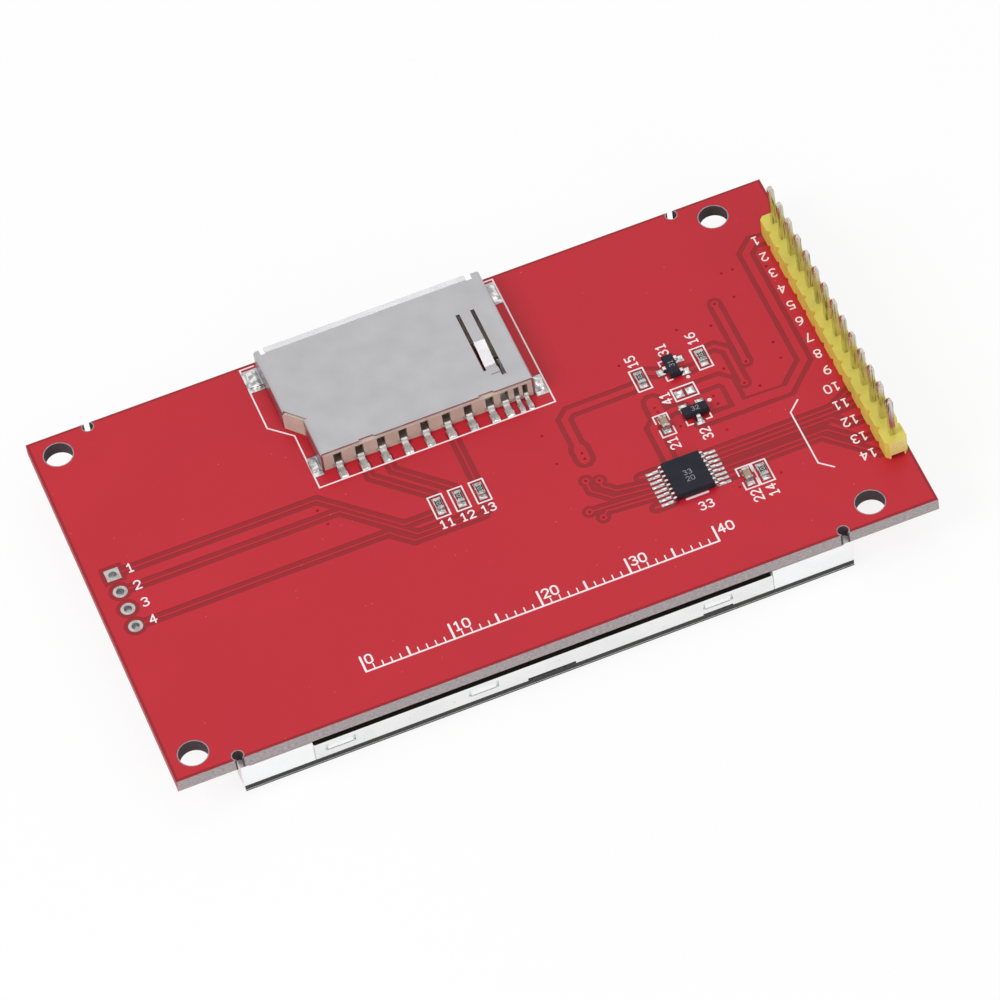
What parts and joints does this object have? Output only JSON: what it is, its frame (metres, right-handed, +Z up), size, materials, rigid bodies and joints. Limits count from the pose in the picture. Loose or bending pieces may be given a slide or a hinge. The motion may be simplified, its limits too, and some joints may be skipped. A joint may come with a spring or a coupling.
{
  "type": "tft display module",
  "caption": "Flat colour display with a touch panel, fixed under a red circuit board that carries a memory-card socket, a row of header pins and a few small chips.",
  "frame": {"origin": "bottom centre of the module's box: under the middle of the circuit board, on the face of the touch film that the module rests on", "axes": "+X along the board towards the pin header, +Y across the board towards the mouth of the card socket, +Z up from the display to the component side"},
  "size_m": [0.086, 0.05, 0.0141],
  "materials": {
    "solder_mask": "glossy red solder mask over copper",
    "tinned_copper": "hot-air levelled tin",
    "header_plastic": "moulded yellow plastic",
    "pin_metal": "thin pale gold plating",
    "solder": "bright solder",
    "shell_steel": "satin tinned steel",
    "insulator": "moulded liquid-crystal polymer, pinkish tan",
    "spring_metal": "tinned bronze",
    "chip_epoxy": "moulded epoxy",
    "white_ceramic": "alumina",
    "resistor_coat": "black glaze",
    "tan_ceramic": "fired ceramic",
    "foam": "foam tape",
    "back_metal": "plain sheet steel",
    "frame_plastic": "white moulded polycarbonate",
    "white_film": "white film",
    "clear_film": "clear film",
    "clear_acrylic": "polished acrylic",
    "lamp": "phosphor",
    "flex_film": "amber polyimide",
    "polarizer": "dark polarizer",
    "panel_glass": "clear glass",
    "black_tape": "black adhesive tape",
    "silicon": "bare silicon",
    "touch_surface": "hard-coated clear film",
    "white_adhesive": "printed adhesive border"
  },
  "bodies": {
    "root": {"circuit_board": "solder_mask", "header_barrels": "tinned_copper", "side_barrels": "tinned_copper", "solder_lands": "tinned_copper", "flex_lands": "tinned_copper", "header_housing": "header_plastic", "header_pins": "pin_metal", "header_solder": "solder", "socket_shell": "shell_steel", "socket_housing": "insulator", "socket_contacts": "spring_metal", "socket_switch_springs": "spring_metal", "socket_solder": "solder", "touch_controller_body": "chip_epoxy", "touch_controller_leads": "tinned_copper", "regulator_body": "chip_epoxy", "regulator_leads": "tinned_copper", "transistor_body": "chip_epoxy", "transistor_leads": "tinned_copper", "resistor_ceramics": "white_ceramic", "resistor_ends": "tinned_copper", "resistor_coats": "resistor_coat", "capacitor_ceramics": "tan_ceramic", "capacitor_ends": "tinned_copper", "chip_solder": "solder", "foam_tape": "foam", "display_back": "back_metal", "display_frame": "frame_plastic", "reflector": "white_film", "light_guide": "clear_acrylic", "led_strip": "flex_film", "leds": "lamp", "diffuser": "white_film", "lower_prism_sheet": "clear_film", "upper_prism_sheet": "clear_film", "rim_tape": "black_tape", "rear_polarizer": "polarizer", "transistor_glass": "panel_glass", "filter_glass": "panel_glass", "front_polarizer": "polarizer", "driver_chip": "silicon", "display_flex": "flex_film", "touch_gasket": "black_tape", "touch_glass": "panel_glass", "touch_spacer": "white_adhesive", "touch_film": "touch_surface", "touch_tail": "flex_film"}
  },
  "joints": []
}
